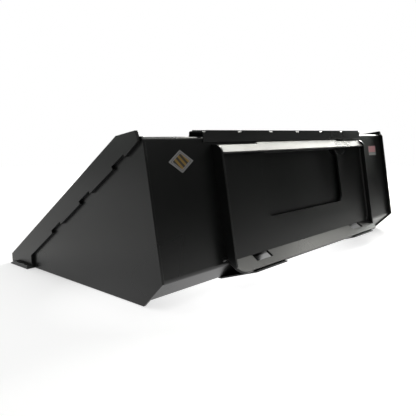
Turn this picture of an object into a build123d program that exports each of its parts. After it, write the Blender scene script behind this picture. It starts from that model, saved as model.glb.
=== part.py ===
"""Skid steer bucket, 72 inch: a welded loader bucket with a quick-attach coupler on its back.

Frame: +X to the operator's right, +Y forward (the way the bucket digs), +Z up, millimetres.
The origin is on the ground, at the middle of the bucket's box.
Every outline is drawn in the side view, as (forward, up) measured in inches from the
bottom rear corner of the side plates; place() moves it into the bucket's frame.
"""
from build123d import *
from math import atan, cos, radians, sin, tan
import os

INCH = 25.4

# ---- Driving dimensions, inches and degrees ----
WIDTH = 72.0                # over the two side plates
LEAN = 10.1                 # back, coupler and rear edges lean forward from vertical
SIDE_PLATE_T = 0.375
SHELL_T = 0.25
CUTTER_T = 0.5
COUPLER_T = 0.375
UPPER_LIP_T = 0.3125
STEP_T = 0.125
STICKER_T = 0.02
WELD_LEG = 0.25
THROUGH = 2.0               # cuts and drills run this far past the plate they open

# Side plate
SIDE_KICK = 3.6             # the heel corner is cut off at 45 degrees
SIDE_TOP = 21.62
SIDE_TOP_CHAMFER = (0.28, 0.35)
SIDE_SETBACK = 0.5          # the cutter leads the side plate by this much
SIDE_FRONT = 32.0

# Shell: floor, 45 degree kick plate, back and top lip, folded from one sheet
FLOOR_UP = 0.5              # underside of the floor above the side plates' bottom edge
KICK_TOP = (-3.015, 3.42)
SHELL_TOP = 21.5
TOP_LIP_FRONT = 3.5
FLOOR_LAP = 1.5             # the floor laps onto the cutting edge
HEEL_BEND = 0.75
TOP_BEND = 0.45

# Cutting edge
EDGE_T = 0.625
EDGE_REAR = 27.7
EDGE_WIDTH = 5.7
EDGE_BEVEL = 1.2
EDGE_NOSE = 0.1             # blunt thickness left at the tip
EDGE_OVERHANG = 0.6875      # past the outer face of each cutter

# Side cutter: a slanting strip with three notches in its rear edge
CUTTER_TOP_FRONT = (4.16, 21.67)
CUTTER_PEAK = (0.39, 22.34)
CUTTER_TOP_REAR = (-0.1, 21.05)
CUTTER_ANGLE = 34.1
CUTTER_WIDTH = 3.1
CUTTER_NOSE = 34.1
CUTTER_REAR = 27.45
NOTCH_DEPTH = 0.42
NOTCH_LENGTH = 3.0
NOTCH_PITCH = 9.38
NOTCH_FIRST = 0.1
NOTCH_COUNT = 3

# Step tread: an upside-down channel with toothed corners, welded on the top lip
STEP_LENGTH = 49.25
STEP_REAR = -0.04
STEP_FRONT = 2.76
STEP_TOP = 22.25
STEP_REAR_LEG_BOTTOM = 20.88
STEP_BEND = 0.3
BRIDGE_COUNT = 6
BRIDGE_LENGTH = 1.15
TEETH_PER_BAY = 16
TOOTH_HEIGHT = 0.17
TOOTH_TIP_SHARE = 0.45
TREAD_EDGE_GAP = 0.14

# Coupler
COUPLER_FOOT = (-3.70, 3.99)    # rear face of the plate where it stands on the lower lip
GUSSET_OUTER = 23.0             # half of the width over the gussets
GUSSET_REACH = 1.03             # the gusset's rear edge stands this far behind the plate
GUSSET_TOP = 20.42
GUSSET_CORNER = 1.3
UPPER_LIP_UP = 20.35
UPPER_LIP_ANGLE = 41.3
UPPER_LIP_LENGTH = 1.49
UPPER_TAB_HALF = 13.0
UPPER_TAB_RISE = 0.4
LOWER_LIP_ANGLE = 31.7
LOWER_LIP_LENGTH = 2.58
LOWER_LIP_CORNER = 1.5
LIP_EAR = (0.85, 0.5)        # small ears at the lip's root, outside the gussets: width, length
SLOT_CENTRE = 15.9
SLOT_LENGTH = 4.1
SLOT_WIDTH = 1.28
RELIEF_CENTRE = 22.27
RELIEF_DIAMETER = 0.6
WINDOW_HALF = 12.6
WINDOW_BOTTOM = 8.85
WINDOW_TOP = 19.0
WINDOW_CORNER = 1.6
SPACER_CENTRE = 17.6
SPACER_WIDTH = 3.0
SPACER_BOTTOM = 5.2
SPACER_TOP = 19.0

# Braces from the heel up to the lower lip
BRACE_CENTRE = 15.9
BRACE_T = 0.25
BRACE_REAR_HALF = 4.0
BRACE_FRONT_HALF = 4.9
BRACE_TAIL = 2.4
BRACE_END = -6.14

# Stickers on the back: centre X, centre Z, width, height
STICKER_LEFT = (-29.35, 18.3, 4.6, 3.06)
STICKER_RIGHT = (30.7, 18.09, 3.65, 2.04)

# ---- Derived ----
HALF = WIDTH / 2
INNER_HALF = HALF - SIDE_PLATE_T
LEAN_RUN = tan(radians(LEAN))
CUTTER_DROP = tan(radians(CUTTER_ANGLE))
LIP_RISE = tan(radians(LOWER_LIP_ANGLE))
EDGE_BOTTOM = FLOOR_UP - EDGE_T
EDGE_TIP = EDGE_REAR + EDGE_WIDTH
EDGE_HALF = HALF + CUTTER_T + EDGE_OVERHANG
BEVEL_START = EDGE_TIP - EDGE_BEVEL
GUSSET_INNER = GUSSET_OUTER - COUPLER_T
HEEL = KICK_TOP[0] + KICK_TOP[1] - FLOOR_UP
PLATE_FRONT = (COUPLER_FOOT[0] + COUPLER_T / cos(radians(LEAN)), COUPLER_FOOT[1])
ORIGIN_FORWARD = (CUTTER_NOSE + BRACE_END) / 2


# ---- Geometry helpers ----

def place(forward, up):
    """A side-view point in inches, as (Y, Z) in the bucket's frame in millimetres."""
    return ((forward - ORIGIN_FORWARD) * INCH, (up - EDGE_BOTTOM) * INCH)


def lean_at(foot, up):
    """Forward position, at height up, of the leaning line that passes through foot."""
    return foot[0] + (up - foot[1]) * LEAN_RUN


def back_at(up):
    """Point of the back's rear face at a height."""
    return (lean_at(KICK_TOP, up), up)


def down_slope(start, angle, along, off=0.0):
    """Point along a line that falls rearward at angle, off square above it."""
    fall = radians(angle)
    forward = start[0] - along * cos(fall) - off * sin(fall)
    up = start[1] - along * sin(fall) + off * cos(fall)
    return (forward, up)


def cutter_point(along, off):
    """Point of the cutter strip: along its front edge, off square behind it."""
    return (
        CUTTER_TOP_FRONT[0] + along * cos(radians(CUTTER_ANGLE)) - off * sin(radians(CUTTER_ANGLE)),
        CUTTER_TOP_FRONT[1] - along * sin(radians(CUTTER_ANGLE)) - off * cos(radians(CUTTER_ANGLE)),
    )


def lip_on_back(up_at_plate):
    """Where a line parallel to the lower lip, up_at_plate high at the plate's foot, meets the back."""
    gap = lean_at(KICK_TOP, up_at_plate) - COUPLER_FOOT[0]
    return back_at(up_at_plate + LIP_RISE * gap / (1 - LIP_RISE * LEAN_RUN))


def slab(points, x_from, x_to):
    """A plate whose outline is in the side view, between two X positions in inches."""
    corners = [place(forward, up) for forward, up in points]
    face = make_face(Polyline(*corners, close=True))
    plate = extrude(Plane.YZ * face, amount=(x_to - x_from) * INCH)
    return Pos(x_from * INCH, 0, 0) * plate


def folded_sheet(points, radii, thickness, half_length):
    """A bent sheet: points trace its outer face, the thickness goes to the right of the path."""
    corners = [place(forward, up) for forward, up in points]
    outer = FilletPolyline(*corners, radius=[r * INCH for r in radii])
    loop = offset(outer, amount=thickness * INCH, side=Side.RIGHT)
    face = make_face(loop)
    return extrude(Plane.YZ * face, amount=half_length * INCH, both=True)


def fillet_weld(start, end, x, x_way, leg=WELD_LEG):
    """Weld bead along a side-view line, in its left-hand corner with a wall at x."""
    y_start, z_start = place(*start)
    y_end, z_end = place(*end)
    along = Vector(0, y_end - y_start, z_end - z_start)
    square = Vector(0, -along.Z, along.Y).normalized()
    root = Vector(x * INCH, y_start, z_start)
    toe_wall = root + square * (leg * INCH)
    toe_sheet = root + Vector(x_way * leg * INCH, 0, 0)
    face = make_face(Polyline(root, toe_wall, toe_sheet, close=True))
    return extrude(face, amount=along.length, dir=along.normalized())


# ---- Bucket body ----

def shell_plate():
    points = [
        (EDGE_REAR + FLOOR_LAP, FLOOR_UP),
        (HEEL, FLOOR_UP),
        KICK_TOP,
        back_at(SHELL_TOP),
        (TOP_LIP_FRONT, SHELL_TOP),
    ]
    return folded_sheet(points, [HEEL_BEND, HEEL_BEND, TOP_BEND], SHELL_T, INNER_HALF)


def cutting_edge():
    outline = [
        (EDGE_REAR, EDGE_BOTTOM),
        (EDGE_TIP, EDGE_BOTTOM),
        (EDGE_TIP, EDGE_BOTTOM + EDGE_NOSE),
        (BEVEL_START, FLOOR_UP),
        (EDGE_REAR, FLOOR_UP),
    ]
    return slab(outline, -EDGE_HALF, EDGE_HALF)


def side_plate():
    """The right-hand plate; its slanting front edge lies behind the cutter's."""
    line = cutter_point(0, SIDE_SETBACK)
    top_front = (line[0] + (line[1] - SIDE_TOP) / CUTTER_DROP, SIDE_TOP)
    toe = (SIDE_FRONT, line[1] - (SIDE_FRONT - line[0]) * CUTTER_DROP)
    kick_corner = (-SIDE_KICK, SIDE_KICK)
    chamfer_run, chamfer_rise = SIDE_TOP_CHAMFER
    chamfer_up = SIDE_TOP - chamfer_rise
    rear = lean_at(kick_corner, chamfer_up)
    outline = [
        (0, 0),
        (EDGE_REAR, 0),
        (EDGE_REAR, FLOOR_UP),
        (SIDE_FRONT, FLOOR_UP),
        toe,
        top_front,
        (rear + chamfer_run, SIDE_TOP),
        (rear, chamfer_up),
        kick_corner,
    ]
    return slab(outline, INNER_HALF, HALF)


def notched_edge():
    """Rear edge of the cutter strip, stepping in and out at each notch."""
    points = []
    for index in range(NOTCH_COUNT):
        start = NOTCH_FIRST + index * NOTCH_PITCH
        end = start + NOTCH_LENGTH
        points.append(cutter_point(start, CUTTER_WIDTH))
        points.append(cutter_point(start, CUTTER_WIDTH - NOTCH_DEPTH))
        points.append(cutter_point(end, CUTTER_WIDTH - NOTCH_DEPTH))
        points.append(cutter_point(end, CUTTER_WIDTH))
    return points


def side_cutter():
    """The right-hand cutter, a notched strip welded outside the side plate."""
    rear_line = cutter_point(0, CUTTER_WIDTH)
    rear_up = rear_line[1] - (CUTTER_REAR - rear_line[0]) * CUTTER_DROP
    nose_up = CUTTER_TOP_FRONT[1] - (CUTTER_NOSE - CUTTER_TOP_FRONT[0]) * CUTTER_DROP
    nose_root = BEVEL_START + FLOOR_UP * EDGE_BEVEL / (EDGE_T - EDGE_NOSE)
    outline = [CUTTER_TOP_FRONT, CUTTER_PEAK, CUTTER_TOP_REAR]
    outline += notched_edge()
    outline += [
        (CUTTER_REAR, rear_up),
        (CUTTER_REAR, FLOOR_UP),
        (BEVEL_START, FLOOR_UP),
        (nose_root, 0),
        (CUTTER_NOSE, 0),
        (CUTTER_NOSE, nose_up),
    ]
    return slab(outline, HALF, HALF + CUTTER_T)


def side_weld():
    """Beads inside the right-hand corner, along the floor, the kick plate and the back."""
    floor = FLOOR_UP + SHELL_T
    bend_gap = HEEL_BEND
    kick_shift = SHELL_T * sin(radians(45))
    kick_low = (HEEL - bend_gap + kick_shift, FLOOR_UP + bend_gap + kick_shift)
    kick_high = (KICK_TOP[0] + bend_gap + kick_shift, KICK_TOP[1] - bend_gap + kick_shift)
    back_shift = SHELL_T / cos(radians(LEAN))
    back_low = back_at(KICK_TOP[1] + bend_gap)
    back_high = back_at(SHELL_TOP - TOP_BEND - SHELL_T)
    runs = [
        ((HEEL + bend_gap, floor), (EDGE_REAR + FLOOR_LAP, floor)),
        (kick_high, kick_low),
        ((back_high[0] + back_shift, back_high[1]), (back_low[0] + back_shift, back_low[1])),
    ]
    return Compound(children=[fillet_weld(a, b, INNER_HALF, -1) for a, b in runs])


# ---- Step ----

def toothed_strip(x_from, x_to, leg_rear, leg_front):
    """Upper edge of a leg in one bay: a flat strip that ends in a row of upright teeth."""
    root = STEP_TOP - STEP_BEND
    pitch = (x_to - x_from) / TEETH_PER_BAY
    tip = pitch * TOOTH_TIP_SHARE
    flank = (pitch - tip) / 2
    outline = [(x_from, root), (x_from, STEP_TOP)]
    for index in range(TEETH_PER_BAY):
        start = x_from + index * pitch
        outline.append((start + flank, STEP_TOP + TOOTH_HEIGHT))
        outline.append((start + flank + tip, STEP_TOP + TOOTH_HEIGHT))
        outline.append((start + pitch, STEP_TOP))
    outline.append((x_to, root))
    y_rear, z_zero = place(leg_rear, 0)
    corners = [(x * INCH, z_zero + up * INCH) for x, up in outline]
    face = make_face(Polyline(*corners, close=True))
    strip = extrude(Plane.XZ * face, amount=-(leg_front - leg_rear) * INCH)
    return Pos(0, y_rear, 0) * strip


def step_tread():
    """Channel open downward: the rear leg laps over the back, the front leg stands on the lip."""
    points = [
        (STEP_REAR, STEP_REAR_LEG_BOTTOM),
        (STEP_REAR, STEP_TOP),
        (STEP_FRONT, STEP_TOP),
        (STEP_FRONT, SHELL_TOP),
    ]
    channel = folded_sheet(points, [STEP_BEND, STEP_BEND], STEP_T, STEP_LENGTH / 2)
    bay = STEP_LENGTH / BRIDGE_COUNT
    reach = STEP_BEND + TREAD_EDGE_GAP
    legs = [
        (STEP_REAR, STEP_REAR + STEP_T, STEP_REAR - reach, STEP_REAR + reach),
        (STEP_FRONT - STEP_T, STEP_FRONT, STEP_FRONT - reach, STEP_FRONT + reach),
    ]
    low = STEP_TOP - STEP_BEND
    high = STEP_TOP + THROUGH
    for index in range(BRIDGE_COUNT):
        x_from = -STEP_LENGTH / 2 + index * bay + BRIDGE_LENGTH / 2
        x_to = x_from + bay - BRIDGE_LENGTH
        for leg_rear, leg_front, cut_rear, cut_front in legs:
            bend = [(cut_rear, low), (cut_rear, high), (cut_front, high), (cut_front, low)]
            channel -= slab(bend, x_from, x_to)
            channel += toothed_strip(x_from, x_to, leg_rear, leg_front)
    return channel


def step_weld():
    """One bead under the rear leg and one in front of the front leg."""
    half = STEP_LENGTH / 2
    leg = STEP_T
    low = STEP_REAR_LEG_BOTTOM
    rear = [(STEP_REAR, low), back_at(low), back_at(low - leg)]
    front = [(STEP_FRONT, SHELL_TOP), (STEP_FRONT + leg, SHELL_TOP), (STEP_FRONT, SHELL_TOP + leg)]
    return Compound(children=[slab(rear, -half, half), slab(front, -half, half)])


# ---- Coupler ----

def upper_lip_start():
    """Top edge of the upper lip, on the plane of the coupler plate's rear face."""
    return (lean_at(COUPLER_FOOT, UPPER_LIP_UP), UPPER_LIP_UP)


def coupler_upper_lip():
    """Sloping hook plate; its middle runs on over the coupler plate's top edge."""
    start = upper_lip_start()
    outline = [
        down_slope(start, UPPER_LIP_ANGLE, -UPPER_TAB_RISE),
        down_slope(start, UPPER_LIP_ANGLE, UPPER_LIP_LENGTH),
        down_slope(start, UPPER_LIP_ANGLE, UPPER_LIP_LENGTH, -UPPER_LIP_T),
        down_slope(start, UPPER_LIP_ANGLE, -UPPER_TAB_RISE, -UPPER_LIP_T),
    ]
    sheet = slab(outline, -GUSSET_INNER, GUSSET_INNER)
    low = UPPER_LIP_UP - THROUGH
    high = UPPER_LIP_UP + THROUGH
    ahead = [
        (lean_at(COUPLER_FOOT, low), low),
        (lean_at(COUPLER_FOOT, high), high),
        (lean_at(COUPLER_FOOT, high) + THROUGH, high),
        (lean_at(COUPLER_FOOT, low) + THROUGH, low),
    ]
    sheet -= slab(ahead, UPPER_TAB_HALF, GUSSET_OUTER)
    sheet -= slab(ahead, -GUSSET_OUTER, -UPPER_TAB_HALF)
    return sheet


def relief_holes():
    """Round holes at the two bottom corners of the coupler, through plate and lower lip."""
    y, z = place(*COUPLER_FOOT)
    drill = Cylinder(RELIEF_DIAMETER / 2 * INCH, THROUGH * INCH)
    return [Pos(side * RELIEF_CENTRE * INCH, y, z) * drill for side in (-1, 1)]


def coupler_plate():
    """Flat face of the coupler, with a wide window through which the back shows."""
    run = PLATE_FRONT[0] - COUPLER_FOOT[0]
    front_foot_up = COUPLER_FOOT[1] + LIP_RISE * run / (1 - LIP_RISE * LEAN_RUN)
    outline = [
        COUPLER_FOOT,
        upper_lip_start(),
        (lean_at(PLATE_FRONT, UPPER_LIP_UP), UPPER_LIP_UP),
        (lean_at(PLATE_FRONT, front_foot_up), front_foot_up),
    ]
    plate = slab(outline, -GUSSET_INNER, GUSSET_INNER)
    start = upper_lip_start()
    above_tab = [
        down_slope(start, UPPER_LIP_ANGLE, THROUGH, -UPPER_LIP_T),
        down_slope(start, UPPER_LIP_ANGLE, THROUGH, THROUGH),
        down_slope(start, UPPER_LIP_ANGLE, -THROUGH, THROUGH),
        down_slope(start, UPPER_LIP_ANGLE, -THROUGH, -UPPER_LIP_T),
    ]
    plate -= slab(above_tab, -UPPER_TAB_HALF, UPPER_TAB_HALF)
    height = (WINDOW_TOP - WINDOW_BOTTOM) * INCH
    window = RectangleRounded(2 * WINDOW_HALF * INCH, height, WINDOW_CORNER * INCH)
    middle = (WINDOW_TOP + WINDOW_BOTTOM) / 2
    y, z = place(lean_at(COUPLER_FOOT, middle), middle)
    face = Plane(origin=(0, y, z), x_dir=(1, 0, 0), z_dir=(0, 1, -LEAN_RUN))
    plate -= extrude(face * window, amount=THROUGH * INCH, both=True)
    for hole in relief_holes():
        plate -= hole
    return plate


def coupler_lower_lip():
    """Sloping foot plate with the two slots that take the loader's lock pins."""
    under = COUPLER_FOOT[1] - COUPLER_T / cos(radians(LOWER_LIP_ANGLE))
    outline = [
        lip_on_back(COUPLER_FOOT[1]),
        down_slope(COUPLER_FOOT, LOWER_LIP_ANGLE, LOWER_LIP_LENGTH),
        down_slope(COUPLER_FOOT, LOWER_LIP_ANGLE, LOWER_LIP_LENGTH, -COUPLER_T),
        lip_on_back(under),
    ]
    sheet = slab(outline, -GUSSET_OUTER, GUSSET_OUTER)
    y, z = place(*COUPLER_FOOT)
    fall = radians(LOWER_LIP_ANGLE)
    face = Plane(origin=(0, y, z), x_dir=(1, 0, 0), z_dir=(0, -sin(fall), cos(fall)))
    front = 2 * LOWER_LIP_LENGTH
    depth = front + LOWER_LIP_LENGTH
    blank = RectangleRounded(2 * GUSSET_OUTER * INCH, depth * INCH, LOWER_LIP_CORNER * INCH)
    blank = Pos(0, (front - LOWER_LIP_LENGTH) / 2 * INCH, 0) * blank
    sheet &= extrude(face * blank, amount=THROUGH * INCH, both=True)
    for side in (-1, 1):
        slot = Rectangle(SLOT_LENGTH * INCH, SLOT_WIDTH * INCH)
        slot = Pos(side * SLOT_CENTRE * INCH, -SLOT_WIDTH / 2 * INCH, 0) * slot
        sheet -= extrude(face * slot, amount=THROUGH * INCH, both=True)
    for hole in relief_holes():
        sheet -= hole
    return sheet + lip_ears()


def lip_ears():
    """Where the lower lip runs on past the gussets, against the back."""
    width, length = LIP_EAR
    under = COUPLER_FOOT[1] - COUPLER_T / cos(radians(LOWER_LIP_ANGLE))
    top = lip_on_back(COUPLER_FOOT[1])
    outline = [
        top,
        down_slope(top, LOWER_LIP_ANGLE, length),
        down_slope(top, LOWER_LIP_ANGLE, length, -COUPLER_T),
        lip_on_back(under),
    ]
    right = slab(outline, GUSSET_OUTER, GUSSET_OUTER + width)
    return [right, mirror(right, about=Plane.YZ)]


def coupler_gusset():
    """The right-hand end plate, from the bucket's back to behind the coupler plate."""
    rear_line = (COUPLER_FOOT[0] - GUSSET_REACH, COUPLER_FOOT[1])
    foot_up = COUPLER_FOOT[1] - LIP_RISE * GUSSET_REACH / (1 - LIP_RISE * LEAN_RUN)
    rear_top = (lean_at(rear_line, GUSSET_TOP), GUSSET_TOP)
    outline = [
        lip_on_back(COUPLER_FOOT[1]),
        (lean_at(rear_line, foot_up), foot_up),
        rear_top,
        back_at(GUSSET_TOP),
    ]
    plate = slab(outline, GUSSET_INNER, GUSSET_OUTER)
    y, z = place(*rear_top)
    corner = plate.edges().filter_by(Axis.X).sort_by_distance((GUSSET_OUTER * INCH, y, z))[0]
    return fillet(corner, GUSSET_CORNER * INCH)


def coupler_spacer():
    """Upright bar that fills the gap between the back and the coupler plate."""
    outline = [
        (lean_at(PLATE_FRONT, SPACER_BOTTOM), SPACER_BOTTOM),
        (lean_at(PLATE_FRONT, SPACER_TOP), SPACER_TOP),
        back_at(SPACER_TOP),
        back_at(SPACER_BOTTOM),
    ]
    return slab(outline, SPACER_CENTRE - SPACER_WIDTH / 2, SPACER_CENTRE + SPACER_WIDTH / 2)


def coupler_weld():
    """Bead in the corner between the coupler plate and the right-hand gusset."""
    low = COUPLER_FOOT[1] + RELIEF_DIAMETER
    high = UPPER_LIP_UP - UPPER_LIP_LENGTH
    start = (lean_at(COUPLER_FOOT, low), low)
    end = (lean_at(COUPLER_FOOT, high), high)
    return fillet_weld(start, end, GUSSET_INNER, -1)


def lower_lip_weld():
    """Bead under the lower lip, where it meets the back."""
    under = COUPLER_FOOT[1] - COUPLER_T / cos(radians(LOWER_LIP_ANGLE))
    root = lip_on_back(under)
    leg = WELD_LEG
    outline = [root, back_at(root[1] - leg), down_slope(root, LOWER_LIP_ANGLE, leg)]
    return slab(outline, -GUSSET_OUTER, GUSSET_OUTER)


def lip_brace():
    """Bent plate: its tail lies under the floor, its wing rises to the lower lip's rear edge."""
    lip_corner = down_slope(COUPLER_FOOT, LOWER_LIP_ANGLE, LOWER_LIP_LENGTH, -COUPLER_T)
    pitch = (lip_corner[1] - FLOOR_UP) / (HEEL - lip_corner[0])
    slant = atan(pitch)
    end_up = FLOOR_UP + pitch * (HEEL - BRACE_END)
    outline = [
        (HEEL + BRACE_TAIL, FLOOR_UP),
        (HEEL, FLOOR_UP),
        (BRACE_END, end_up),
        (BRACE_END, end_up - BRACE_T / cos(slant)),
        (HEEL - BRACE_T * tan(slant / 2), FLOOR_UP - BRACE_T),
        (HEEL + BRACE_TAIL, FLOOR_UP - BRACE_T),
    ]
    strip = slab(outline, BRACE_CENTRE - BRACE_FRONT_HALF, BRACE_CENTRE + BRACE_FRONT_HALF)
    plan = [
        (BRACE_FRONT_HALF, HEEL + BRACE_TAIL),
        (BRACE_FRONT_HALF, HEEL),
        (BRACE_REAR_HALF, BRACE_END),
    ]
    right_side = [((BRACE_CENTRE + half) * INCH, place(forward, 0)[0]) for half, forward in plan]
    left_side = [((BRACE_CENTRE - half) * INCH, place(forward, 0)[0]) for half, forward in reversed(plan)]
    face = make_face(Polyline(*(right_side + left_side), close=True))
    return strip & extrude(face, amount=COUPLER_FOOT[1] * INCH)


# ---- Stickers ----

def sticker(shape, centre_x, centre_up):
    """A thin sheet of vinyl on the rear face of the back."""
    y, z = place(*back_at(centre_up))
    face = Plane(origin=(centre_x * INCH, y, z), x_dir=(1, 0, 0), z_dir=(0, -1, LEAN_RUN))
    return extrude(face * shape, amount=STICKER_T * INCH)


def sticker_left():
    x, up, width, height = STICKER_LEFT
    corners = [(-width / 2, 0), (0, height / 2), (width / 2, 0), (0, -height / 2)]
    outline = Polyline(*[(across * INCH, rise * INCH) for across, rise in corners], close=True)
    return sticker(make_face(outline), x, up)


def sticker_right():
    x, up, width, height = STICKER_RIGHT
    return sticker(Rectangle(width * INCH, height * INCH), x, up)


# ---- All the pieces ----

def build():
    """Every piece by name; paired pieces are drawn on the right and mirrored."""
    nodes = {
        "shell_plate": shell_plate(),
        "cutting_edge": cutting_edge(),
        "step_tread": step_tread(),
        "step_weld": step_weld(),
        "coupler_plate": coupler_plate(),
        "coupler_upper_lip": coupler_upper_lip(),
        "coupler_lower_lip": coupler_lower_lip(),
        "coupler_lower_lip_weld": lower_lip_weld(),
        "sticker_left": sticker_left(),
        "sticker_right": sticker_right(),
    }
    pairs = {
        "side_plate": side_plate(),
        "side_cutter": side_cutter(),
        "side_weld": side_weld(),
        "coupler_gusset": coupler_gusset(),
        "coupler_weld": coupler_weld(),
        "coupler_spacer": coupler_spacer(),
        "lip_brace": lip_brace(),
    }
    for name, right in pairs.items():
        nodes[name + "_right"] = right
        nodes[name + "_left"] = mirror(right, about=Plane.YZ)
    return nodes


if __name__ == "__main__":
    os.makedirs("parts", exist_ok=True)
    for name, solid in build().items():
        export_step(solid, f"parts/{name}.step")
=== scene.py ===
"""Looks of the skid steer bucket: black powder coat, rippled weld beads and two plain stickers."""

import math

import bmesh
import bpy
import numpy as np
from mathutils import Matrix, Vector


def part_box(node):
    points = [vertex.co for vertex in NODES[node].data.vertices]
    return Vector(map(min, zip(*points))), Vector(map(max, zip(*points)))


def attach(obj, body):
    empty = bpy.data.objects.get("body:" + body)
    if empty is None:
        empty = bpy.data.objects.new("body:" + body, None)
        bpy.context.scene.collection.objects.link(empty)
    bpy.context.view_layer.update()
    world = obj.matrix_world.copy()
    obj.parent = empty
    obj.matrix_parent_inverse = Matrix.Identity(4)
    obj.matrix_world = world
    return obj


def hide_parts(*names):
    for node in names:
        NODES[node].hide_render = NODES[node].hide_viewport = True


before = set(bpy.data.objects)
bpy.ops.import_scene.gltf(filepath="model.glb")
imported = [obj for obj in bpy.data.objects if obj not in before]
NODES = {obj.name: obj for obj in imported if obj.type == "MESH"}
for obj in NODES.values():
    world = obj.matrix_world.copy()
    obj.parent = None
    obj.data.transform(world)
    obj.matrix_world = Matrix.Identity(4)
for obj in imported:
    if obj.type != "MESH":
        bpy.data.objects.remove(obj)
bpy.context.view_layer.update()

# ---- Camera, metres and degrees ----
CAMERA_AT = (-1.90175, -1.52167, 0.56515)
CAMERA_TURN = (81.12, 0.0, -48.13)
CAMERA_LENS = 42.03
SENSOR_WIDTH = 36.0

# ---- Bevels ----
WELD_GAP = 1e-5             # vertices this close are one vertex
FLAT_ANGLE = math.radians(1.0)
SHARP_ANGLE = math.radians(28.0)
PLATE_BEVEL = 0.0009
TREAD_BEVEL = 0.0003
BEVEL_SEGMENTS = 2
NORMAL_WEIGHT = 60          # how far large faces rule the shading of their edges

# ---- Weld beads ----
RIPPLE_PITCH = 0.0052
RINGS_PER_RIPPLE = 5
BEAD_ARC_STEPS = 7
BEAD_BULGE = 0.30           # rise of the bead's crown over its toes' chord, as a share of the chord
RIPPLE_DEPTH = 0.30         # how far the surface sinks between two ripples, as a share of the bulge
RIPPLE_BOW = 0.55           # how far the toes of a ripple trail its crown, as a share of the pitch
BEAD_WANDER = 0.05          # change of size from one ripple to the next, as a share
BEAD_SHARP_ANGLE = math.radians(60.0)
SEED = 7

# ---- Powder coat: noise scales per metre, colours in linear light ----
CLOUD_SCALE = 5.0
MOTTLE_SCALE = 24.0
GLOSS_SCALE = 3.0
PEEL_SCALE = 620.0
PEEL_DEPTH = 0.000025
PEEL_STRENGTH = 0.5
COAT_THIN = (0.0022, 0.0025, 0.0024)
COAT_FULL = (0.0042, 0.0044, 0.0042)
COAT_MOTTLE = (0.0055, 0.0058, 0.0055)
MOTTLE_SHARE = 0.25
# Paler film on the edges: partly rubbed wear, partly a painted highlight along them
COAT_RUBBED_HIGHLIGHT = (0.016, 0.0165, 0.0155)
RUB_HIGHLIGHT_RADIUS = 0.0022
RUB_HIGHLIGHT_TURN = (0.985, 0.86)    # cosine of the edge's turn where the paler edge film (rubbed wear and painted highlight) starts, and where it is full
RUB_HIGHLIGHT_SHARE = (0.15, 0.8)
RUB_DULLS = 0.1
COAT_GLOSS = (0.265, 0.305)
COAT_SPECULAR = 0.34

# ---- Stickers: shares of half the width and half the height ----
BORDER_RING = (0.80, 0.86)
INNER_DIAMOND = 0.70
STRIPE_COUNT = 2.2          # pairs of stripes per half width
STRIPE_LEAN = 0.66
LABEL_BAND = -0.36          # the grey band lies under this height
LABEL_EDGE = 0.93
SILVER = ((0.13, 0.13, 0.13), (0.20, 0.20, 0.198))
BORDER = (0.03, 0.03, 0.03)
AMBER = (0.16, 0.095, 0.012)
STRIPE_BLACK = (0.012, 0.011, 0.008)
ROSE = ((0.27, 0.11, 0.12), (0.33, 0.145, 0.155))
BAND_GREY = ((0.18, 0.185, 0.183), (0.10, 0.125, 0.115))
LABEL_EDGE_GREY = (0.12, 0.115, 0.11)
SCUFF_GREY = (0.07, 0.07, 0.068)
SCUFF_SHARE = 0.35
PEBBLE_DEPTH = 0.00003
PEBBLE_STRENGTH = 0.4
DIAMOND_ROUGHNESS = 0.38
LABEL_ROUGHNESS = 0.42
FLAT_SIDE = 1e-6            # stands for the depth of a sheet that has none

# ---- Light ----
# Floor glow by distance from FLOOR_CENTRE, in units of FLOOR_SPREAD metres
FLOOR_CENTRE = (-0.15, -0.25)
FLOOR_SPREAD = (1.25, 0.6)
FLOOR_GLOW = (
    (0.0, 1.55), (0.3, 1.1), (0.6, 0.72), (0.85, 0.5),
    (1.4, 0.42), (2.2, 0.3), (3.4, 0.3), (5.5, 0.62),
)
FLOOR_REACH = 6.0
FLOOR_PEAK = 3.0
FLOOR_RADIUS = 6.5
FLOOR_SIDES = 128
FLOOR_DROP = 0.0004         # keeps the floor clear of the faces that stand on it
PAPER = ((0.50, 0.50, 0.50), (0.53, 0.53, 0.528))
PAPER_ROUGHNESS = 0.9
PAPER_SPECULAR = 0.1
# Sky brightness by height: the sine of the elevation, then the level
SKY_LEVELS = ((0.0, 0.0), (0.25, 0.0), (0.37, 0.92), (0.5, 0.1), (0.65, 1.0), (0.8, 0.8), (1.0, 1.66))
SKY_PEAK = 2.0
WARM = (1.0, 0.996, 0.93)
COOL = (0.95, 1.0, 0.95)
# Square softboxes, all facing one point: place, watts, tint
LIT_POINT = (0.0, -0.4, 0.35)
SOFTBOX_SIZE = 0.9
SOFTBOXES = (
    ((4.0, 0.6, 1.7), 107, WARM),
    ((4.0, 0.6, 2.6), 70, WARM),
    ((4.0, 0.6, 3.5), 36, WARM),
    ((4.0, 0.6, 4.4), 62, WARM),
    ((4.0, -0.4, 0.9), 25, COOL),
    ((4.0, -0.4, 2.6), 11.5, WARM),
    ((4.0, -0.4, 4.4), 11.5, WARM),
    ((3.6, 3.2, 1.3), 60, WARM),
    ((-0.5, 4.5, 2.4), 42, COOL),
    ((-3.4, 3.2, 0.9), 5, COOL),
    ((-3.4, 3.2, 2.4), 10, COOL),
)


# ---- Node helpers ----

def new_material(name):
    """A node material with a Principled shader: the material, its tree and the shader."""
    material = bpy.data.materials.new(name)
    material.use_nodes = True
    tree = material.node_tree
    tree.nodes.clear()
    output = tree.nodes.new("ShaderNodeOutputMaterial")
    shader = tree.nodes.new("ShaderNodeBsdfPrincipled")
    tree.links.new(shader.outputs[0], output.inputs["Surface"])
    return material, tree, shader


def add(tree, kind, **values):
    """A new node; keyword values set its properties, and *_in ones its sockets."""
    node = tree.nodes.new(kind)
    for name, value in values.items():
        if name.endswith("_in"):
            node.inputs[name[:-3].replace("_", " ")].default_value = value
        else:
            setattr(node, name, value)
    return node


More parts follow.
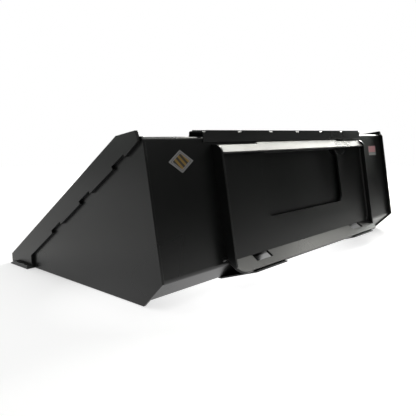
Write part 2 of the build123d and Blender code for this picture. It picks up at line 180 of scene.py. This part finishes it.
def noise(tree, coords, scale, detail=2.0, rough=0.5):
    node = add(tree, "ShaderNodeTexNoise", Scale_in=scale, Detail_in=detail, Roughness_in=rough)
    tree.links.new(coords, node.inputs["Vector"])
    return node.outputs["Fac"]


def spread(tree, value, low, high, out_low, out_high):
    """Maps a value from one range to another, clamped."""
    node = add(tree, "ShaderNodeMapRange")
    for socket, number in zip(node.inputs[1:5], (low, high, out_low, out_high)):
        socket.default_value = number
    tree.links.new(value, node.inputs[0])
    return node.outputs[0]


def mix(tree, factor, low, high):
    """Blends two colours; each is a colour or the output of another node."""
    node = add(tree, "ShaderNodeMix", data_type="RGBA")
    tree.links.new(factor, node.inputs[0])
    for socket, colour in ((node.inputs[6], low), (node.inputs[7], high)):
        if isinstance(colour, bpy.types.NodeSocket):
            tree.links.new(colour, socket)
        else:
            socket.default_value = (*colour, 1.0)
    return node.outputs[2]


def calculate(tree, operation, *values):
    node = add(tree, "ShaderNodeMath", operation=operation)
    for socket, value in zip(node.inputs, values):
        if isinstance(value, bpy.types.NodeSocket):
            tree.links.new(value, socket)
        else:
            socket.default_value = value
    return node.outputs[0]


# ---- Materials ----

def powder_coat(name):
    """Satin black powder coat: orange peel, cloudy gloss, and a paler film on the edges that is partly
    rubbed wear and partly a painted highlight.
    """
    material, tree, shader = new_material(name)
    coords = add(tree, "ShaderNodeTexCoord").outputs["Object"]
    clouds = noise(tree, coords, CLOUD_SCALE, 4.0, 0.55)
    mottle = noise(tree, coords, MOTTLE_SCALE)
    peel = noise(tree, coords, PEEL_SCALE, 1.5, 0.45)

    film = mix(tree, spread(tree, clouds, 0.3, 0.7, 0.0, 1.0), COAT_THIN, COAT_FULL)
    film = mix(tree, spread(tree, mottle, 0.3, 0.7, 0.0, MOTTLE_SHARE), film, COAT_MOTTLE)

    # Edge film: paler where the surface turns, partly rubbed wear and partly a painted edge highlight
    rounded = add(tree, "ShaderNodeBevel", samples=4, Radius_in=RUB_HIGHLIGHT_RADIUS)
    flat = add(tree, "ShaderNodeNewGeometry").outputs["Normal"]
    dot = add(tree, "ShaderNodeVectorMath", operation="DOT_PRODUCT")
    tree.links.new(rounded.outputs[0], dot.inputs[0])
    tree.links.new(flat, dot.inputs[1])
    edge = spread(tree, dot.outputs["Value"], *RUB_HIGHLIGHT_TURN, 0.0, 1.0)
    rub_and_highlight = calculate(tree, "MULTIPLY", edge, spread(tree, mottle, 0.35, 0.65, *RUB_HIGHLIGHT_SHARE))
    film = mix(tree, rub_and_highlight, film, COAT_RUBBED_HIGHLIGHT)
    tree.links.new(film, shader.inputs["Base Color"])

    gloss = spread(tree, noise(tree, coords, GLOSS_SCALE, 0.0), 0.2, 0.8, *COAT_GLOSS)
    gloss = calculate(tree, "ADD", gloss, calculate(tree, "MULTIPLY", rub_and_highlight, RUB_DULLS))
    tree.links.new(gloss, shader.inputs["Roughness"])

    bump = add(tree, "ShaderNodeBump", Strength_in=PEEL_STRENGTH, Distance_in=PEEL_DEPTH)
    tree.links.new(peel, bump.inputs["Height"])
    tree.links.new(bump.outputs[0], shader.inputs["Normal"])
    shader.inputs["Specular IOR Level"].default_value = COAT_SPECULAR
    return material


def sticker_coords(tree, node_name):
    """Across and up on a sticker, each from -1 to 1 over its box."""
    low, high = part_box(node_name)
    place = add(tree, "ShaderNodeMapping", vector_type="TEXTURE")
    place.inputs["Location"].default_value = (low + high) / 2
    place.inputs["Scale"].default_value = [max(size, FLAT_SIDE) / 2 for size in high - low]
    tree.links.new(add(tree, "ShaderNodeTexCoord").outputs["Object"], place.inputs["Vector"])
    split = add(tree, "ShaderNodeSeparateXYZ")
    tree.links.new(place.outputs[0], split.inputs[0])
    return split.outputs["X"], split.outputs["Z"]


def printed_vinyl(name, node_name, print_on, roughness):
    """A vinyl sheet: its print, faint scuffs and a slightly pebbled gloss."""
    material, tree, shader = new_material(name)
    across, up = sticker_coords(tree, node_name)
    coords = add(tree, "ShaderNodeTexCoord").outputs["Object"]
    scuffs = noise(tree, coords, 160.0, 4.0, 0.6)
    pebbles = noise(tree, coords, 900.0, 2.0)
    colour = print_on(tree, across, up, coords)
    dull = spread(tree, scuffs, 0.5, 0.75, 0.0, SCUFF_SHARE)
    tree.links.new(mix(tree, dull, colour, SCUFF_GREY), shader.inputs["Base Color"])
    gloss = spread(tree, scuffs, 0.3, 0.7, roughness - 0.05, roughness + 0.1)
    tree.links.new(gloss, shader.inputs["Roughness"])
    bump = add(tree, "ShaderNodeBump", Strength_in=PEBBLE_STRENGTH, Distance_in=PEBBLE_DEPTH)
    tree.links.new(pebbles, bump.inputs["Height"])
    tree.links.new(bump.outputs[0], shader.inputs["Normal"])
    return material


def print_diamond(tree, across, up, coords):
    """Silver ground, a thin dark border, and a small diamond of amber and black stripes."""
    ring = calculate(tree, "ADD", calculate(tree, "ABSOLUTE", across), calculate(tree, "ABSOLUTE", up))
    flake = noise(tree, coords, 1400.0, 2.0)
    silver = mix(tree, flake, *SILVER)
    start, end = BORDER_RING
    outside = calculate(tree, "GREATER_THAN", ring, start)
    inside = calculate(tree, "LESS_THAN", ring, end)
    silver = mix(tree, calculate(tree, "MULTIPLY", outside, inside), silver, BORDER)
    slant = calculate(tree, "ADD", across, calculate(tree, "MULTIPLY", up, STRIPE_LEAN))
    slant = calculate(tree, "MULTIPLY", slant, STRIPE_COUNT)
    wave = calculate(tree, "GREATER_THAN", calculate(tree, "FRACT", slant), 0.5)
    stripes = mix(tree, wave, AMBER, STRIPE_BLACK)
    return mix(tree, calculate(tree, "LESS_THAN", ring, INNER_DIAMOND), silver, stripes)


def print_label(tree, across, up, coords):
    """A plain rose field inside a thin grey edge, with a grey band below."""
    ink = noise(tree, coords, 500.0, 3.0)
    rose = mix(tree, ink, *ROSE)
    band = mix(tree, spread(tree, up, -0.8, -0.45, 0.0, 1.0), *BAND_GREY)
    colour = mix(tree, calculate(tree, "LESS_THAN", up, LABEL_BAND), rose, band)
    edge = calculate(tree, "MAXIMUM", calculate(tree, "ABSOLUTE", across), calculate(tree, "ABSOLUTE", up))
    return mix(tree, calculate(tree, "GREATER_THAN", edge, LABEL_EDGE), colour, LABEL_EDGE_GREY)


def fill_ramp(ramp, stops, peak):
    """Grey levels at places along a colour ramp; peak is the level that white stands for."""
    for index, (place, level) in enumerate(stops):
        stop = ramp.elements[index] if index < 2 else ramp.elements.new(place)
        stop.position = place
        stop.color = [level / peak] * 3 + [1]


def pale_floor():
    """Matt paper with a glow of its own, brightest round FLOOR_CENTRE and stronger again far out."""
    material, tree, shader = new_material("floor_paper")
    coords = add(tree, "ShaderNodeTexCoord").outputs["Object"]
    grain = noise(tree, coords, 240.0, 3.0)
    colour = mix(tree, grain, *PAPER)
    tree.links.new(colour, shader.inputs["Base Color"])
    place = add(tree, "ShaderNodeMapping", vector_type="TEXTURE")
    place.inputs["Location"].default_value = (*FLOOR_CENTRE, 0)
    place.inputs["Scale"].default_value = [FLOOR_REACH * side for side in FLOOR_SPREAD] + [1]
    tree.links.new(coords, place.inputs["Vector"])
    reach = add(tree, "ShaderNodeVectorMath", operation="LENGTH")
    tree.links.new(place.outputs[0], reach.inputs[0])
    glow = add(tree, "ShaderNodeValToRGB")
    fill_ramp(glow.color_ramp, [(r / FLOOR_REACH, level) for r, level in FLOOR_GLOW], FLOOR_PEAK)
    tree.links.new(reach.outputs["Value"], glow.inputs[0])
    tree.links.new(glow.outputs[0], shader.inputs["Emission Color"])
    shader.inputs["Emission Strength"].default_value = FLOOR_PEAK
    shader.inputs["Roughness"].default_value = PAPER_ROUGHNESS
    shader.inputs["Specular IOR Level"].default_value = PAPER_SPECULAR
    return material


# ---- Finish of the CAD pieces ----

def soften(piece, width):
    """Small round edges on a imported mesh, by modifiers alone."""
    weld = piece.modifiers.new("weld", "WELD")
    weld.merge_threshold = WELD_GAP
    flatten = piece.modifiers.new("flatten", "DECIMATE")
    flatten.decimate_type = "DISSOLVE"
    flatten.angle_limit = FLAT_ANGLE
    bevel = piece.modifiers.new("bevel", "BEVEL")
    bevel.width = width
    bevel.segments = BEVEL_SEGMENTS
    bevel.limit_method = "ANGLE"
    bevel.angle_limit = SHARP_ANGLE
    bevel.use_clamp_overlap = True
    shade = piece.modifiers.new("shade", "WEIGHTED_NORMAL")
    shade.keep_sharp = False
    shade.weight = NORMAL_WEIGHT


def paint(piece, material):
    piece.data.materials.clear()
    piece.data.materials.append(material)


# ---- Weld beads ----

def prisms(node):
    """The end triangles (start, end) of each straight bead in a weld node, corner matched to corner."""
    work = bmesh.new()
    work.from_mesh(node.data)
    bmesh.ops.remove_doubles(work, verts=work.verts, dist=WELD_GAP)
    left = set(work.verts)
    found = []
    while left:
        stack = [left.pop()]
        island = []
        while stack:
            vert = stack.pop()
            island.append(Vector(vert.co))
            for edge in vert.link_edges:
                other = edge.other_vert(vert)
                if other in left:
                    left.remove(other)
                    stack.append(other)
        found.append(end_triangles(island))
    work.free()
    return sorted(found, key=lambda pair: tuple(pair[0][0]))


def end_triangles(corners):
    """Splits a long prism's six corners into its two ends; each end starts with the root corner."""
    corners = sorted(corners, key=lambda c: tuple(round(v, 5) for v in c))
    far = max(((a, b) for a in corners for b in corners), key=lambda pair: (pair[0] - pair[1]).length)
    axis = (far[1] - far[0]).normalized()
    ordered = sorted(corners, key=lambda c: c.dot(axis))
    start, end = ordered[:3], ordered[3:]
    run = sum(end, Vector()) / 3 - sum(start, Vector()) / 3
    end = [min(end, key=lambda c: (c - corner - run).length) for corner in start]

    def opening(index):
        sides = [start[other] - start[index] for other in range(3) if other != index]
        return sides[0].angle(sides[1])

    root = max(range(3), key=opening)
    turn = [root, (root + 1) % 3, (root + 2) % 3]
    return [start[i] for i in turn], [end[i] for i in turn]


def bead_rings(start, end, draw):
    """Cross-sections of one bead: the root, then an arc from toe to toe that bulges in ripples."""
    length = (end[0] - start[0]).length
    ripples = max(2, round(length / RIPPLE_PITCH))
    count = ripples * RINGS_PER_RIPPLE
    chord = (start[2] - start[1]).length
    outward = ((start[1] + start[2]) / 2 - start[0]).normalized()
    wander = draw.uniform(-1, 1, ripples + 3)
    rings = []
    for step in range(count + 1):
        share = step / count
        shift = (end[0] - start[0]) * share
        place = share * ripples
        size = 1 + BEAD_WANDER * np.interp(place, np.arange(ripples + 3), wander)
        ring = [start[0] + shift]
        for index in range(BEAD_ARC_STEPS + 1):
            t = index / BEAD_ARC_STEPS
            crown = 1 - (2 * t - 1) ** 2
            phase = (place - RIPPLE_BOW * crown) % 1.0
            sink = RIPPLE_DEPTH * (2 * phase - 1) ** 2
            bulge = chord * BEAD_BULGE * size * crown * (1 - sink)
            ring.append(start[1].lerp(start[2], t) + shift + outward * bulge)
        rings.append(ring)
    return rings


def weld_bead(node_name, material):
    """One rippled piece in place of a weld node's plain prisms."""
    draw = np.random.default_rng(SEED)
    points, faces = [], []
    for start, end in prisms(NODES[node_name]):
        rings = bead_rings(start, end, draw)
        size = len(rings[0])
        base = len(points)
        for ring in rings:
            points.extend(tuple(point) for point in ring)
        for row in range(len(rings) - 1):
            for index in range(size):
                a = base + row * size + index
                b = base + row * size + (index + 1) % size
                faces.append((a, b, b + size, a + size))
        faces.append(tuple(base + index for index in reversed(range(size))))
        last = base + (len(rings) - 1) * size
        faces.append(tuple(last + index for index in range(size)))
    mesh = bpy.data.meshes.new(node_name + "_bead")
    mesh.from_pydata(points, [], faces)
    work = bmesh.new()
    work.from_mesh(mesh)
    bmesh.ops.recalc_face_normals(work, faces=work.faces)
    for face in work.faces:
        face.smooth = len(face.verts) == 4
    work.to_mesh(mesh)
    work.free()
    mesh.set_sharp_from_angle(angle=BEAD_SHARP_ANGLE)
    piece = bpy.data.objects.new(node_name + "_bead", mesh)
    bpy.context.scene.collection.objects.link(piece)
    paint(piece, material)
    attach(piece, "root")
    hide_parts(node_name)


# ---- Scene ----

def add_floor():
    mesh = bpy.data.meshes.new("floor")
    turns = [2 * math.pi * index / FLOOR_SIDES for index in range(FLOOR_SIDES)]
    rim = [(FLOOR_RADIUS * math.cos(turn), FLOOR_RADIUS * math.sin(turn), 0) for turn in turns]
    mesh.from_pydata(rim, [], [tuple(range(FLOOR_SIDES))])
    floor = bpy.data.objects.new("floor", mesh)
    floor.location.z = -FLOOR_DROP
    bpy.context.scene.collection.objects.link(floor)
    paint(floor, pale_floor())


def add_softbox(index, at, power, tint):
    light = bpy.data.lights.new(f"softbox_{index}", "AREA")
    light.shape = "SQUARE"
    light.size = SOFTBOX_SIZE
    light.energy = power
    light.color = tint
    box = bpy.data.objects.new(f"softbox_{index}", light)
    box.location = at
    box.rotation_euler = (Vector(LIT_POINT) - Vector(at)).to_track_quat("-Z", "Y").to_euler()
    bpy.context.scene.collection.objects.link(box)


def add_sky():
    """Overhead light in soft bands, dark near the horizon; the camera itself sees plain white."""
    world = bpy.data.worlds.new("studio")
    bpy.context.scene.world = world
    world.use_nodes = True
    tree = world.node_tree
    tree.nodes.clear()
    output = tree.nodes.new("ShaderNodeOutputWorld")
    coords = add(tree, "ShaderNodeTexCoord").outputs["Generated"]
    split = add(tree, "ShaderNodeSeparateXYZ")
    tree.links.new(coords, split.inputs[0])
    ramp = add(tree, "ShaderNodeValToRGB")
    fill_ramp(ramp.color_ramp, SKY_LEVELS, SKY_PEAK)
    tree.links.new(split.outputs["Z"], ramp.inputs[0])
    sky = add(tree, "ShaderNodeBackground", Strength_in=SKY_PEAK)
    tree.links.new(ramp.outputs[0], sky.inputs[0])
    paper = add(tree, "ShaderNodeBackground", Strength_in=1.0)
    paper.inputs[0].default_value = (1, 1, 1, 1)
    seen = add(tree, "ShaderNodeLightPath").outputs["Is Camera Ray"]
    join = add(tree, "ShaderNodeMixShader")
    tree.links.new(seen, join.inputs[0])
    tree.links.new(sky.outputs[0], join.inputs[1])
    tree.links.new(paper.outputs[0], join.inputs[2])
    tree.links.new(join.outputs[0], output.inputs[0])


def add_camera():
    data = bpy.data.cameras.new("camera")
    data.lens = CAMERA_LENS
    data.sensor_width = SENSOR_WIDTH
    camera = bpy.data.objects.new("camera", data)
    camera.location = CAMERA_AT
    camera.rotation_euler = [math.radians(angle) for angle in CAMERA_TURN]
    bpy.context.scene.collection.objects.link(camera)
    bpy.context.scene.camera = camera


coat = powder_coat("black_powder_coat_fine")
looks = {
    "sticker_left": printed_vinyl("silver_vinyl", "sticker_left", print_diamond, DIAMOND_ROUGHNESS),
    "sticker_right": printed_vinyl("printed_vinyl", "sticker_right", print_label, LABEL_ROUGHNESS),
}
for name, node in NODES.items():
    paint(node, looks.get(name, coat))
    if "weld" in name:
        weld_bead(name, coat)
    elif name not in looks:
        soften(node, TREAD_BEVEL if name == "step_tread" else PLATE_BEVEL)

add_floor()
add_sky()
add_camera()
for index, (at, power, tint) in enumerate(SOFTBOXES, 1):
    add_softbox(index, at, power, tint)
bpy.context.scene.view_settings.view_transform = "Standard"
